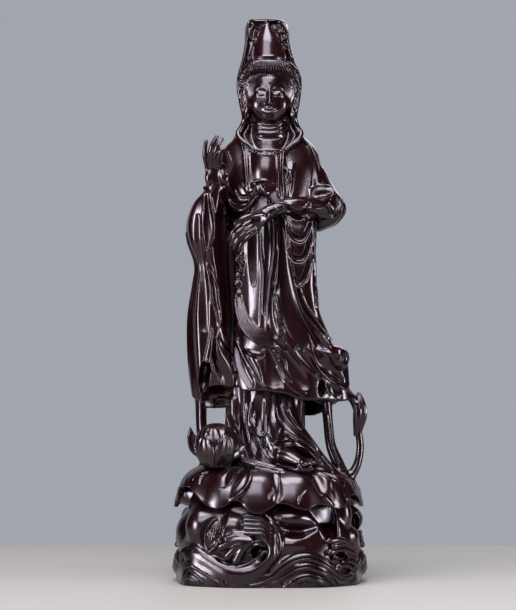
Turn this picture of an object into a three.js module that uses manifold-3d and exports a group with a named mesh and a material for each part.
// A standing robed figure on a lotus leaf over wave-washed rock, carved from one block of dark wood.
// Millimetres, +Z up, seen from the front along +Y. The origin is on the ground, under the plinth.

import * as THREE from "three";
import { mergeVertices } from "three/addons/utils/BufferGeometryUtils.js";
import Module from "manifold-3d";

const wasm = await Module();
wasm.setup();

// Driving sizes
const figureHeight = 446; // from the crown of the leaf to the top of the hood
const plinthHeight = 115; // from the ground to the crown of the leaf
const rockWidth = 186;
const rockDepth = 148;
const leafOverhang = 1; // how far the leaf's rim stands out past the rock
const leafThickness = 5;
const robeThickness = 6; // of the robe's hem, above the underskirt

// The figure's own forms are given in millimetres on a figure 446 tall, from the crown of the leaf up.
const carvedHeight = 446;
const figureScale = figureHeight / carvedHeight;

const fullTurn = 2 * Math.PI;
const front = [0, -1, 0];
const mergeDistance = 1e-3;
const { clamp, lerp, smoothstep } = THREE.MathUtils;

/** The row of a table at any place along its first column, on a smooth curve through the rows. */
function rowAt(table, place) {
  let i = 0;
  while (i < table.length - 2 && place > table[i + 1][0]) i++;
  const from = table[i];
  const to = table[i + 1];
  const before = table[i - 1] ?? from;
  const after = table[i + 2] ?? to;
  const span = to[0] - from[0];
  const t = (place - from[0]) / span;
  return from.map((value, column) => {
    const leaving = ((to[column] - before[column]) / (to[0] - before[0])) * span;
    const arriving = ((after[column] - value) / (after[0] - from[0])) * span;
    return (
      value * (2 * t ** 3 - 3 * t ** 2 + 1) +
      leaving * (t ** 3 - 2 * t ** 2 + t) +
      to[column] * (3 * t ** 2 - 2 * t ** 3) +
      arriving * (t ** 3 - t ** 2)
    );
  });
}

/** The value at a share of the way along an evenly spaced list. */
function valueAlong(list, share) {
  if (!Array.isArray(list)) return list;
  const at = clamp(share, 0, 1) * (list.length - 1);
  const i = Math.min(Math.floor(at), list.length - 2);
  return lerp(list[i], list[i + 1], at - i);
}

/** A closed body on a sphere's grid, whose points lie where place(angle, ring, column) puts them. */
function closedBody(around, rings, place) {
  const grid = new THREE.SphereGeometry(1, around, rings + 1);
  const points = grid.attributes.position;
  for (let i = 0; i < points.count; i++) {
    const column = (i % (around + 1)) % around;
    const ring = Math.floor(i / (around + 1)) - 1;
    points.setXYZ(i, ...place((column / around) * fullTurn, ring, column));
  }
  grid.deleteAttribute("normal");
  grid.deleteAttribute("uv");
  const merged = mergeVertices(grid, mergeDistance);
  const triVerts = new Uint32Array(merged.index.array);
  const made = () =>
    new wasm.Manifold(
      new wasm.Mesh({ numProp: 3, vertProperties: merged.attributes.position.array, triVerts }),
    );
  if (made().volume() < 0) triVerts.reverse();
  return made();
}

/** The outline of a rounded section: its place across and back for an angle, from -1 to 1. */
function outline(angle, squareness) {
  const round = (v) => Math.sign(v) * Math.abs(v) ** (2 / squareness);
  return [round(Math.cos(angle)), round(Math.sin(angle))];
}

/**
 * An upright form with rings at rows of [z, x, y, half width, half depth], or at more places between them.
 * Its columns stand closer together at the front by crowd and run sideways by twist(z). It is raised by
 * flute(angle, z), every second column is cut in by pleat(angle, z), and its lower edge hangs at its own
 * height by hem(angle).
 */
function loft(table, options = {}) {
  const { around = 20, rings = table.length, squareness = 2.3, crowd = 0 } = options;
  const { twist, flute, pleat, hem } = options;
  const heights = table.map(([z]) => z);
  return closedBody(around, rings, (turned, ring, column) => {
    const share = clamp(ring / (rings - 1), 0, 1);
    const level = valueAlong(heights, share);
    if (ring < 0 || ring === rings) return [...rowAt(table, level).slice(1, 3), level];
    const start = turned + (twist?.(level) ?? 0);
    const angle = start - crowd * Math.cos(start);
    const z = level + (1 - share) ** 2 * (hem?.(angle) ?? 0);
    const [, x, y, halfWidth, halfDepth] = rowAt(table, z);
    const [across, deep] = outline(angle, squareness);
    const raised = (flute?.(angle, z) ?? 0) - (column % 2 ? (pleat?.(angle, z) ?? 0) : 0);
    const reach = 1 + raised / Math.hypot(across * halfWidth, deep * halfDepth);
    return [x + across * halfWidth * reach, y + deep * halfDepth * reach, z];
  });
}

/** A tapering strand along a smooth line, with half widths across it and half depths out to its crest. */
function strand(points, halfWidths, options = {}) {
  const { halfDepths = halfWidths, outward = front, around = 3, rings } = options;
  const line = new THREE.CatmullRomCurve3(points.map((p) => new THREE.Vector3(...p)));
  const count = rings ?? points.length;
  const out = new THREE.Vector3(...outward);
  return closedBody(around, count, (angle, ring) => {
    const share = clamp(ring / (count - 1), 0, 1);
    const centre = line.getPoint(share);
    if (ring < 0 || ring === count) return centre.toArray();
    const along = line.getTangent(share);
    const side = new THREE.Vector3().crossVectors(along, out).normalize();
    const up = new THREE.Vector3().crossVectors(side, along);
    centre.addScaledVector(up, Math.cos(angle) * valueAlong(halfDepths, share));
    centre.addScaledVector(side, Math.sin(angle) * valueAlong(halfWidths, share));
    return centre.toArray();
  });
}

/** A smooth egg with half sizes along X, Y and Z. */
function egg([x, y, z], [a, b, c], { around = 6, rings = 2 } = {}) {
  return closedBody(around, rings, (angle, ring) => {
    const tilt = (Math.PI * (ring + 1)) / (rings + 1);
    return [
      x + a * Math.cos(angle) * Math.sin(tilt),
      y + b * Math.sin(angle) * Math.sin(tilt),
      z + c * Math.cos(tilt),
    ];
  });
}

/** The point on a loft's front at (x, z), raised by lift. */
function onFront(table, squareness, x, z, lift = 0) {
  const [, middle, y, halfWidth, halfDepth] = rowAt(table, z);
  const across = Math.min(Math.abs(x - middle) / halfWidth, 0.97);
  const deep = (1 - across ** squareness) ** (1 / squareness);
  return [x, y - halfDepth * deep - lift, z];
}

/** Everything in a list of solids, joined. */
const join = (solids) => solids.reduce((whole, solid) => whole.add(solid));

// The robe

/** How much a point at an angle faces the front (or, with side = 1, the back), from 0 to 1. */
const facing = (angle, side = -1) => Math.max(0, side * Math.sin(angle));

const robeSquareness = 2.3;
const robeTable = [
  [62, 13, -5, 59, 37],
  [84, 13, -5, 56, 36],
  [108, 11, -5, 51, 36],
  [134, 8, -5, 45, 35],
  [164, 6, -5, 40, 34],
  [204, 5, -5, 39, 33],
  [250, 3, -3, 43, 33],
  [294, 1, 1, 49, 29],
  [313, 1, 2, 48, 23],
  [323, 1, 2, 40, 18],
  [330, 0, 2, 30, 14],
];
const capeTable = [
  [60, -8, 14, 66, 27],
  [105, -10, 15, 65, 26],
  [160, -12, 15, 61, 25],
  [220, -10, 15, 57, 24],
  [268, -2, 14, 51, 23],
  [304, 0, 12, 45, 21],
  [330, 0, 12, 24, 13],
];
const windCornerTable = [
  [62, 42, -8, 40, 20],
  [82, 42, -8, 38, 19],
  [104, 42, -8, 36, 16],
  [117, 41, -8, 30, 9],
];
const robeOnFront = (x, z, lift = 0) => onFront(robeTable, robeSquareness, x, z, lift);

/** A raised fold on the robe's front through points of [x, z]. */
const robeFold = (points, halfWidths, lift = 1) =>
  strand(
    points.map(([x, z]) => robeOnFront(x, z, lift)),
    halfWidths,
  );

function robe() {
  const robeFolds = [
    [[[3, 181], [9, 156], [20, 126], [38, 100], [58, 86]], [2, 3.5, 4.5, 4, 2]],
    [[[-33, 166], [-29, 136], [-19, 116], [-7, 114]], [1, 3, 3.5, 1]],
  ];
  return join([
    loft(robeTable, {
      around: 24,
      squareness: robeSquareness,
      crowd: 0.42,
      twist: (z) => 1.4 * clamp((195 - z) / 130, 0, 1) ** 1.8,
      pleat: (angle, z) => 4.2 * facing(angle) ** 0.5 * (1 - smoothstep(z, 225, 262)),
      hem: (angle) => 4 + 4 * Math.cos(5 * angle + 0.6),
    }),
    loft(capeTable, {
      around: 20,
      squareness: 2.6,
      crowd: -0.25,
      pleat: (angle, z) => facing(angle, 1) ** 0.5 * lerp(5.5, 1, smoothstep(z, 90, 300)),
      hem: (angle) => 3 * Math.cos(4 * angle),
    }),
    loft(windCornerTable, { around: 12, squareness: 2.6, hem: (angle) => 5 * Math.sin(angle) }),
    strand([[34, -20, 110], [56, -21, 107], [72, -17, 103]], [10, 13, 11], {
      outward: [0, 0, 1],
      around: 8,
    }),
    ...robeFolds.map(([points, halfWidths]) => robeFold(points, halfWidths)),
  ]);
}

/** What is taken from under the robe and from its curled hems, so that the underskirt stands back. */
function hemHollows() {
  const inset = (table) => {
    const [, x, y, halfWidth, halfDepth] = rowAt(table, 66);
    return [50, 76].map((z) => [z, x, y, halfWidth - robeThickness, halfDepth - robeThickness]);
  };
  return join([
    loft(inset(robeTable), { around: 12, rings: 2 }),
    loft(inset(capeTable), { around: 12, rings: 2 }),
    egg([60, -30, 68], [6, 16, 18]),
    egg([-60, -34, 66], [5, 16, 15]),
  ]);
}

// The underskirt and the foot

const skirtTable = [
  [-16, 8, 0, 58, 42],
  [2, 0, 0, 47, 38],
  [22, -4, -1, 40, 33],
  [80, -4, -2, 37, 28],
];

function underskirt() {
  const foot = strand(
    [[14, -28, 14], [28, -38, 11], [32, -47, 4]],
    [5, 8, 9],
    { halfDepths: [5, 6, 4], outward: [0, 0, 1], around: 6 },
  );
  const toes = [0, 1, 2, 3, 4].map((i) =>
    egg([25 + 3.7 * i, -50 + 1.6 * i, 3 + 0.5 * i], [2, 4, 2.4], { around: 4 }),
  );
  const hemEdge = strand(
    [
      [-24, -38, 2],
      [-4, -43, -5],
      [9, -40, 3],
      [18, -40, 17],
      [34, -38, 20],
      [54, -32, 2],
      [70, -22, -14],
    ],
    [2, 3, 3, 2.5, 3, 4, 3],
  );
  const trail = strand(
    [[26, -14, 46], [38, -18, 18], [56, -18, 0], [74, -14, -16]],
    [4, 7, 7, 5],
    { around: 4 },
  );
  return join([
    loft(skirtTable, {
      around: 28,
      crowd: 0.25,
      twist: (z) => 0.3 * clamp((60 - z) / 76, 0, 1) ** 2,
      pleat: (angle, z) => lerp(4.5, 2.5, clamp(z / 70, 0, 1)),
    }),
    foot,
    ...toes,
    hemEdge,
    trail,
  ]);
}

// Arms, sleeves and hands

const raisedSleeveTable = [
  [64, -55, -10, 19, 23],
  [92, -57, -11, 20.5, 26],
  [146, -58, -12, 20.5, 25],
  [180, -57, -12, 17.5, 25],
  [201, -57, -12, 16, 24],
  [224, -61, -14, 20, 26],
  [242, -62, -17, 20.5, 22],
  [262, -59, -24, 16.5, 15],
  [273, -54, -30, 11, 10],
];
const loweredSleeveTable = [
  [110, 62, -24, 4, 5],
  [130, 52, -27, 8, 9],
  [155, 39, -30, 10, 11],
  [190, 33, -33, 14, 13],
  [232, 29, -34, 17.5, 14],
  [254, 28, -32, 18, 11],
];
const elbowTable = [
  [235, 47, -8, 6, 8],
  [243, 54, -8, 13, 14],
  [253, 58, -8, 16.5, 18],
  [264, 58, -8, 16.5, 18],
  [273, 55, -7, 13, 15],
  [284, 50, -4, 8, 12],
];

/** A bent finger from its knuckle to its tip. */
const finger = (points, thick, tip) => strand(points, [thick, thick, tip], { around: 4 });

function raisedArm() {
  const palm = strand(
    [[-54, -33, 272], [-54, -37, 284], [-53, -39, 298], [-53, -40, 303]],
    [6.5, 9.5, 9, 4],
    { halfDepths: [6, 5.5, 4.5, 3], around: 6, rings: 4 },
  );
  const fingers = [
    finger([[-61, -39, 296], [-64, -40, 309], [-63.5, -42, 321]], 2.6, 1.6),
    finger([[-57, -40, 300], [-58.5, -44, 313], [-51.5, -45, 327]], 2.8, 1.6),
    finger([[-52, -41, 301], [-51, -47, 315], [-46, -45, 324]], 2.8, 1.6),
    finger([[-47, -41, 301], [-49, -50, 312], [-41, -51, 311]], 2.7, 1.7),
    finger([[-45, -37, 286], [-38, -42, 298], [-41, -49, 309]], 3.4, 1.9),
  ];
  return join([
    loft(raisedSleeveTable, {
      around: 16,
      crowd: 0.3,
      twist: (z) => 0.25 * Math.sin(z / 45),
      pleat: (angle, z) => 3.5 * facing(angle) * (1 - smoothstep(z, 225, 262)),
      hem: (angle) => 6 * Math.cos(2 * angle),
    }),
    strand([[-24, 3, 305], [-44, 0, 287], [-57, -8, 262]], [10, 14, 13], { around: 6 }),
    strand([[-60, -12, 256], [-56, -26, 268], [-54, -33, 278]], [12, 9, 6.5], { around: 6 }),
    palm,
    ...fingers,
  ]);
}

function loweredArm() {
  const swags = [
    [[17, 254], [26, 244], [38, 244], [43, 256]],
    [[18, 232], [27, 222], [37, 225], [43, 240]],
    [[21, 206], [30, 201], [38, 209], [43, 228]],
    [[27, 179], [34, 183], [43, 208]],
  ];
  const sleeveEdge = strand(
    [[15, -42, 250], [17, -46, 216], [20, -46, 196], [28, -43, 168], [40, -38, 146], [58, -30, 126]],
    [1.6, 2.6, 2.6, 1.6],
  );
  const hand = strand(
    [[8, -44, 254], [-8, -48, 248], [-20, -52, 239], [-28, -53, 232]],
    [5, 6.5, 7, 4],
    { halfDepths: [5, 5, 4, 3], around: 5, rings: 4 },
  );
  const fingers = [
    finger([[-20, -53, 243], [-32, -57, 236], [-43, -55, 226]], 2.6, 1.6),
    finger([[-20, -54, 239], [-31, -58, 231], [-41, -56, 220]], 2.6, 1.6),
    finger([[-18, -54, 235], [-27, -57, 226], [-36, -55, 216]], 2.5, 1.5),
    finger([[-12, -54, 242], [-20, -58, 232], [-28, -56, 228]], 2.8, 1.7),
  ];
  return join([
    strand([[26, 3, 306], [41, 2, 289], [53, -6, 262]], [10, 15.5, 16], { around: 7 }),
    loft(elbowTable, { around: 10 }),
    strand(
      [[60, -20, 258], [42, -34, 258], [22, -43, 259], [2, -46, 253]],
      [11, 10, 8, 5.5],
      { halfDepths: [10, 9, 7, 5], around: 6, rings: 4 },
    ),
    loft(loweredSleeveTable, { around: 10 }),
    sleeveEdge,
    ...swags.map((points) =>
      strand(points.map(([x, z]) => onFront(loweredSleeveTable, 2.3, x, z, 1)), [1.2, 3, 2.8, 1.2]),
    ),
    hand,
    ...fingers,
  ]);
}

/** The crossed folds, the sash's knot, the beads and the tassel in front of the robe. */
function sashAndTassel() {
  const crossFolds = [
    [[-20, 279], [-14, 271], [-4, 279]],
    [[-34, 268], [-22, 257], [-10, 268]],
    [[-43, 256], [-32, 241], [-15, 252]],
  ];
  const crosses = crossFolds.map((points) => robeFold(points, [1.5, 4.2, 1.5], 3));
  const beads = [
    [-34, 216, 3.6],
    [-29, 207, 3.6],
    [-32, 198, 3.6],
    [-28, 188, 4.2],
    [-29, 176, 6.5],
  ].map(([x, z, radius]) => {
    const [px, py] = robeOnFront(x, z, -1);
    return egg([px, py, z], [radius, radius, radius], { around: 5 });
  });
  const tassel = strand(
    [[-29, 176], [-26, 152], [-15, 133], [2, 122], [18, 116]].map(([x, z]) => robeOnFront(x, z, 3)),
    [4, 6, 7, 5.5, 1],
    { halfDepths: [4, 4, 3.6, 3, 1], around: 5, rings: 5 },
  );
  const knot = egg([-7, -40, 277], [6, 5, 6]);
  return join([...crosses, ...beads, tassel, knot]);
}

// The head in its hood

const hoodTable = [
  [312, 0.5, 8, 40, 21],
  [322, 0.5, 7, 38, 23],
  [331, 0.5, 6, 33, 23],
  [338, 0.5, 5, 27, 23],
  [348, 0, 5, 26.5, 24],
  [362, 0, 5, 29.5, 26],
  [378, -0.3, 5, 32.3, 27],
  [390, 0, 5, 31.3, 27],
  [405, -1.5, 4, 25.7, 24],
  [420, -1.7, 3, 23, 22],
  [438, -2.2, 2, 21.5, 18],
  [446, -2.5, 2, 14.5, 12],
];
const faceOpeningTable = [
  [318, 0.5, -25, 19, 16],
  [345, 0.5, -25, 23, 17],
  [380, 0.5, -25, 28, 17],
  [398, 0.5, -25, 24.5, 17],
  [424, -1, -22, 13, 13],
  [445, -1, -20, 2, 8],
];
const headTable = [
  [341, 0.5, -14, 5, 6],
  [345, 0.5, -14, 11, 12],
  [353, 0.5, -12, 16.5, 18],
  [364, 0.5, -10, 20, 21.3],
  [376, 0.5, -9, 21, 22],
  [388, 0.5, -8, 20, 21],
  [398, 0.5, -6, 16, 18],
  [404, 0.5, -4, 9, 11],
];

const headMiddle = 0.5;
const bothSides = (make) => [-1, 1].flatMap(make);

function face() {
  const x = (across, side = 1) => headMiddle + across * side;
  const nose = strand(
    [[x(0), -29, 379], [x(0), -32.5, 370], [x(0), -34, 364.5]],
    [1.3, 1.8, 3],
    { rings: 4 },
  );
  const lips = [[357.6, 0.5], [354.6, -0.5]].map(([z, bow]) =>
    strand([[x(-4.5), -29, z], [x(0), -31.6, z + bow], [x(4.5), -29, z]], [0.8, 1.6, 0.8], { rings: 4 }),
  );
  const brows = bothSides((side) =>
    strand(
      [[x(14.5, side), -24.5, 378.5], [x(9.5, side), -28.2, 381.6], [x(3.5, side), -29.8, 379.2]],
      [0.7, 1.2, 0.9],
      { rings: 5 },
    ),
  );
  const lids = bothSides((side) =>
    strand(
      [[x(14, side), -25.5, 373.2], [x(9, side), -28.4, 372.8], [x(3.6, side), -29.6, 371.8]],
      [0.6, 3, 0.6],
      { halfDepths: [1, 2.8, 1], around: 4 },
    ),
  );
  const ears = bothSides((side) =>
    strand(
      [[x(22, side), -8, 381], [x(24, side), -9, 370], [x(22.5, side), -11, 352]],
      [3.2, 3, 2.6],
      { halfDepths: [4, 4, 3.4], around: 4, rings: 3 },
    ),
  );
  const chin = egg([x(0), -23.5, 348], [6, 5, 4.5], { rings: 3 });
  return join([loft(headTable, { around: 14 }), nose, ...lips, ...brows, ...lids, ...ears, chin]);
}

function headAndHood() {
  const opening = loft(faceOpeningTable, { around: 10 });
  const rollHalfThickness = [0, 1, 2, 3, 4, 5, 6, 7, 8, 9, 10, 11, 12].map((i) => (i % 2 ? 4.2 : 5.6));
  const frontRoll = strand(
    [[-22, -19, 387], [-16, -26, 396], [headMiddle, -29, 400], [17, -26, 396], [23, -19, 387]],
    rollHalfThickness,
    { rings: rollHalfThickness.length, outward: [0, 0, 1], around: 4 },
  );
  const sideHair = bothSides((side) =>
    strand(
      [
        [headMiddle + 12 * side, -24, 404],
        [headMiddle + 21 * side, -18, 394],
        [headMiddle + 26 * side, -9, 377],
      ],
      [2, 4.6, 3],
    ),
  );
  const topknot = loft(
    [
      [398, -0.5, -8, 17, 17],
      [412, -0.5, -8, 14.5, 15],
      [428, -0.8, -6, 9, 11],
      [444, -1, -3, 2, 5],
    ],
    { around: 8 },
  );
  const hoodRims = bothSides((side) =>
    strand(
      [
        [-1 + 1.5 * side, -11, 445],
        [-0.5 + 16 * side, -16, 419],
        [headMiddle + 28.5 * side, -11, 386],
        [headMiddle + 26 * side, -12, 352],
        [headMiddle + 26 * side, -19, 326],
      ],
      [1.5, 2.2, 2.6, 2.6, 2.6],
      { rings: 6 },
    ),
  );
  const neck = loft(
    [
      [310, headMiddle, -9, 18, 16],
      [326, headMiddle, -8, 15.5, 15],
      [352, headMiddle, -6, 12, 12],
    ],
    { around: 9, rings: 9, flute: (angle, z) => 1.3 * Math.cos(((z - 340) / 6) * Math.PI) },
  );
  const chest = egg([-2, -16, 290], [20, 20, 32], { around: 8, rings: 4 });
  const lapels = bothSides((side) =>
    strand(
      [
        [headMiddle + 25 * side, -17, 330],
        [headMiddle + 23 * side, -29, 314],
        [20 * side, -36, 292],
        [17 * side, -38, 262],
      ],
      [3, 4.4, 4.4, 3],
    ),
  );
  const necklace = strand(
    [[-17, -26, 316], [-8, -31, 310], [0, -32, 308], [12, -29, 313]],
    [1.1, 1.4, 1.4, 1.1],
  );
  return join([
    loft(hoodTable, { around: 16, squareness: 2.2, crowd: 0.2 }).subtract(opening),
    face(),
    frontRoll,
    ...sideHair,
    topknot,
    ...hoodRims,
    neck,
    chest,
    ...lapels,
    necklace,
  ]);
}

// The lotus flower, the lotus bud and the stems that hold the robe's ends

const stemHalfWidth = 5;

/** A cup of pointed petals: rows of [share of the height, radius] to the tips, with lower gaps between. */
function petalCup([x, y, z], { petals, height, rows, gap, start = 0 }) {
  return closedBody(2 * petals, rows.length, (turned, ring, column) => {
    if (ring < 0) return [x, y, z];
    if (ring === rows.length) return [x, y, z + height * gap * 0.8];
    const [share, radius] = rows[ring];
    const rise = column % 2 ? Math.min(share, gap) : share;
    const reach = radius * (column % 2 ? 0.84 : 1);
    const angle = turned + start;
    return [x + Math.cos(angle) * reach, y + Math.sin(angle) * reach, z + rise * height];
  });
}

function lotusFlower() {
  const [x, y, z] = [-53, -38, 3];
  const outerRows = [[0, 10], [0.35, 19], [0.72, 21], [1, 17]];
  const middleRows = [[0, 9], [0.3, 16], [0.7, 18.5], [1, 12]];
  const innerRows = [[0, 6], [0.7, 13], [1, 5]];
  return join([
    petalCup([x, y, z - 10], { petals: 7, height: 34, rows: outerRows, gap: 0.84, start: 0.2 }),
    petalCup([x, y, z], { petals: 6, height: 32, rows: middleRows, gap: 0.86, start: 0.5 }),
    petalCup([x, y, z], { petals: 5, height: 37, rows: innerRows, gap: 0.92 }),
    strand([[-66, -30, 6], [-77, -27, 20], [-79, -26, 35]], [6, 5, 1], {
      outward: [-1, -0.4, 0],
      around: 4,
    }),
  ]);
}

function stems() {
  const budTable = [
    [32, 88, -4, 3.6, 3.6],
    [44, 90.5, -4, 6.3, 6.3],
    [56, 91, -4, 7.2, 7.2],
    [66, 90, -4, 5.6, 5.6],
    [74, 89.5, -4, 1.6, 1.6],
  ];
  return join([
    strand(
      [[-68, 4, 70], [-67.5, 2, 40], [-64, 0, 14], [-60, -4, -14]],
      [6, 5.5, 6, 9],
      { halfDepths: [9, 7, 7, 9], around: 4 },
    ),
    strand(
      [[57, 2, 70], [59, 0, 44], [62, -4, 20], [70, -8, 0], [76, -10, -20]],
      [6, stemHalfWidth, stemHalfWidth, 6, 7],
      { around: 5 },
    ),
    strand(
      [[88, -4, 40], [91, -4, 20], [88, -6, 2], [80, -8, -12], [70, -10, -24]],
      [4, 4, 4, 5, 6],
      { around: 4 },
    ),
    strand([[78, -10, 70], [86, -6, 62], [89, -5, 50]], [5, 4, 3]),
    loft(budTable, { around: 10, pleat: () => 1.4 }),
  ]);
}

// The plinth, in its own millimetres from the ground up

const halfRockWidth = rockWidth / 2;
const halfRockDepth = rockDepth / 2;
const rockSquareness = 2.6;
const rockTable = [
  [0, 0, 0, halfRockWidth, halfRockDepth],
  [plinthHeight * 0.16, 0, 0, halfRockWidth - 1, halfRockDepth],
  [plinthHeight * 0.34, 0, 0, halfRockWidth - 1, halfRockDepth - 2],
  [plinthHeight * 0.5, 0, 0, halfRockWidth - 5, halfRockDepth - 6],
  [plinthHeight * 0.64, 0, 0, halfRockWidth - 12, halfRockDepth - 11],
  [plinthHeight * 0.85, 0, 0, halfRockWidth - 24, halfRockDepth - 20],
];

/** Uneven bulges of the rock. */
function rockBulge(angle, z) {
  const rise = z / plinthHeight;
  return 2.2 * Math.sin(5 * angle + 6 * rise) * Math.sin(9 * rise) + Math.sin(9 * angle - 5 * rise);
}

/** The rock's girth: rows of [distance from the middle of the front, angle], once round. */
const girth = [[0, -Math.PI / 2]];
for (let i = 1; i <= 180; i++) {
  const angle = (i / 180) * fullTurn - Math.PI / 2;
  const [from, to] = [girth.at(-1)[1], angle].map((a) => outline(a, rockSquareness));
  const step = Math.hypot((to[0] - from[0]) * halfRockWidth, (to[1] - from[1]) * halfRockDepth);
  girth.push([girth.at(-1)[0] + step, angle]);
}
const fullGirth = girth.at(-1)[0];

/** The point on the rock at a distance along its girth and a height, raised by lift. */
function onRock(distance, z, lift = 0) {
  const along = ((distance % fullGirth) + fullGirth) % fullGirth;
  const next = girth.findIndex(([reached]) => reached >= along) || 1;
  const [from, to] = [girth[next - 1], girth[next]];
  const angle = lerp(from[1], to[1], (along - from[0]) / (to[0] - from[0]));
  const [, x, y, halfWidth, halfDepth] = rowAt(rockTable, z);
  const [across, deep] = outline(angle, rockSquareness);
  const reach = 1 + (lift + rockBulge(angle, z)) / Math.hypot(across * halfWidth, deep * halfDepth);
  return [x + across * halfWidth * reach, y + deep * halfDepth * reach, z];
}

/** A strand on the rock through points of [distance along the girth, share of the plinth's height]. */
function onRockStrand(points, halfWidths, { lift = 0.5, ...options } = {}) {
  const placed = points.map(([distance, rise]) => onRock(distance, rise * plinthHeight, lift));
  const middle = placed[Math.floor(placed.length / 2)];
  const halfDepths = halfWidths.map((width) => 0.6 * width);
  return strand(placed, halfWidths, { halfDepths, outward: [middle[0], middle[1], 0.01], ...options });
}

/** A breaking wave at a place on the girth, seen from outside: its swell, its curl and its foam. */
function wave(place, { side = 1, upperFoam = 0, lowerFoam = 0, rings = 9 } = {}) {
  const at = ([across, rise]) => [place + side * across, rise];
  const swellAndCurl = [
    [-98, 0.22],
    [-88, 0.28],
    [-72, 0.23],
    [-52, 0.14],
    [-34, 0.11],
    [-17, 0.13],
    [-4, 0.2],
    [3, 0.29],
    [0, 0.37],
    [-8, 0.43],
    [-20, 0.42],
    [-22, 0.31],
  ];
  const crest = [
    [-2, 0.62],
    [6, 0.5],
    [10, 0.36],
    [-2, 0.15],
  ];
  const upperFinger = (i) => [
    [-25 + i, 0.6 - 0.055 * i],
    [-10, 0.59 - 0.055 * i],
    [5, 0.44 - 0.05 * i],
  ];
  const lowerFinger = (i) => [
    [-43 + 6 * i, 0.36 - 0.06 * i],
    [-32 + 4 * i, 0.39 - 0.04 * i],
    [-17, 0.44],
  ];
  const fingers = (count, points) => [...Array(count).keys()].map((i) => points(i).map(at));
  const foam = [...fingers(upperFoam, upperFinger), ...fingers(lowerFoam, lowerFinger)];
  return join([
    onRockStrand(swellAndCurl.map(at), [1, 3, 6, 8, 8, 8, 7, 6, 5, 4.4, 3.6, 2.6], { rings }),
    ...(upperFoam ? [onRockStrand(crest.map(at), [1.5, 4.5, 4.5, 1.5])] : []),
    ...foam.map((points) => onRockStrand(points, [3, 3.6, 2.2], { lift: 1 })),
  ]);
}

function rock() {
  const boulder = ([distance, rise, across, up]) =>
    egg(onRock(distance, rise * plinthHeight, -0.7 * across), [across, across, up], { rings: 3 });
  const boulders = [
    [-86, 0.5, 14, 18],
    [36, 0.56, 17, 8],
    [108, 0.54, 12, 15],
  ].map(boulder);
  const podPoints = [[-66, 0.33], [-63, 0.42], [-60, 0.51], [-57, 0.6]];
  const pod = onRockStrand(podPoints, [4, 9, 9, 3], { around: 5 });
  const swells = [
    [[-37, 0.01], [5, 0.16], [36, 0.27], [66, 0.19], [86, 0.1], [100, 0.16]],
    [[4, 0.02], [34, 0.15], [66, 0.03]],
  ];
  const hollows = [
    [-11, 0.3, 7, 8],
    [60, 0.58, 10, 12],
  ].map(([distance, rise, across, up]) =>
    egg(onRock(distance, rise * plinthHeight, 2), [across, 8, up], { rings: 3 }),
  );
  const rightFoam = [0, 1, 2].map((i) => [
    [72 + 4 * i, 0.42 - 0.05 * i],
    [84, 0.42 - 0.06 * i],
    [95, 0.3 - 0.04 * i],
  ]);
  const body = loft(rockTable, { around: 30, squareness: rockSquareness, flute: rockBulge });
  const waves = [
    wave(0, { upperFoam: 3, lowerFoam: 3 }),
    wave(185, { rings: 6 }),
    wave(-190, { side: -1, rings: 6 }),
    ...swells.map((points) => onRockStrand(points, [1.5, 7, 8, 7, 1.5])),
    ...rightFoam.map((points) => onRockStrand(points, [2.6, 3.4, 2])),
  ];
  return join([body, ...boulders]).subtract(join(hollows)).add(join([...waves, pod]));
}

const leafHalfWidth = halfRockWidth + leafOverhang;
const leafHalfDepth = halfRockDepth + leafOverhang;
const rimDrop = plinthHeight * 0.32;
const lobeDepth = plinthHeight * 0.032;
const foldDepth = 2;
const lobes = 14;
const lobeStart = -1.665; // the angle of the lobe nearest to the middle of the front
const hollowAngle = -2.68; // where the rim lifts highest, over a deep hollow

/** The leaf's upper side: rows of [share of the way out, share of the rim's drop]. */
const leafProfile = [
  [0, 0],
  [0.48, 0.07],
  [0.73, 0.2],
  [0.89, 0.4],
  [0.98, 0.68],
  [1, 1],
];

/** How far the rim swings down at an angle, from -1 to 1. */
const rimWave = (angle) => clamp(1.4 * Math.cos(lobes * (angle - lobeStart)), -1, 1);

function leaf() {
  const rim = leafProfile.length - 1;
  return closedBody(4 * lobes, rim + 1, (turned, ring) => {
    if (ring < 0) return [0, 0, plinthHeight];
    if (ring === rim + 1) return [0, 0, plinthHeight - rimDrop * 0.5];
    const angle = turned + lobeStart + Math.PI / (4 * lobes);
    const under = ring === rim;
    const [reach, drop] = leafProfile[Math.min(ring + 1, rim)];
    const lift = Math.max(0, Math.cos(angle - hollowAngle)) ** 6;
    const swing = rimWave(angle) * drop;
    const out = foldDepth * swing - (under ? leafThickness : 0);
    const [across, deep] = outline(angle, 2.4);
    const z = plinthHeight - rimDrop * drop - lobeDepth * swing * (1 + 2 * lift) + 6 * lift * drop ** 2;
    return [
      across * (leafHalfWidth * reach + out),
      deep * (leafHalfDepth * reach + out),
      z - (under ? 0.4 * leafThickness : 0),
    ];
  });
}

// Assembly

/** The figure in its own millimetres, set on the crown of the leaf. */
function figure() {
  const cloth = join([robe(), raisedArm(), loweredArm()]).subtract(hemHollows());
  return join([cloth, underskirt(), sashAndTassel(), headAndHood(), lotusFlower(), stems()])
    .scale(figureScale)
    .translate([0, 0, plinthHeight]);
}

/** A three.js mesh of a solid. */
function meshOf(solid, name, material) {
  const { vertProperties, triVerts } = solid.getMesh();
  const geometry = new THREE.BufferGeometry();
  geometry.setAttribute("position", new THREE.BufferAttribute(vertProperties, 3));
  geometry.setIndex(new THREE.BufferAttribute(triVerts, 1));
  const mesh = new THREE.Mesh(geometry, material);
  mesh.name = name;
  return mesh;
}

const darkWood = new THREE.MeshStandardMaterial({ color: 0x2a1517, roughness: 0.35, metalness: 0 });
const whole = join([rock(), leaf(), figure()]);

const group = new THREE.Group();
group.add(meshOf(whole, "guanyin_figure", darkWood));
export default group;
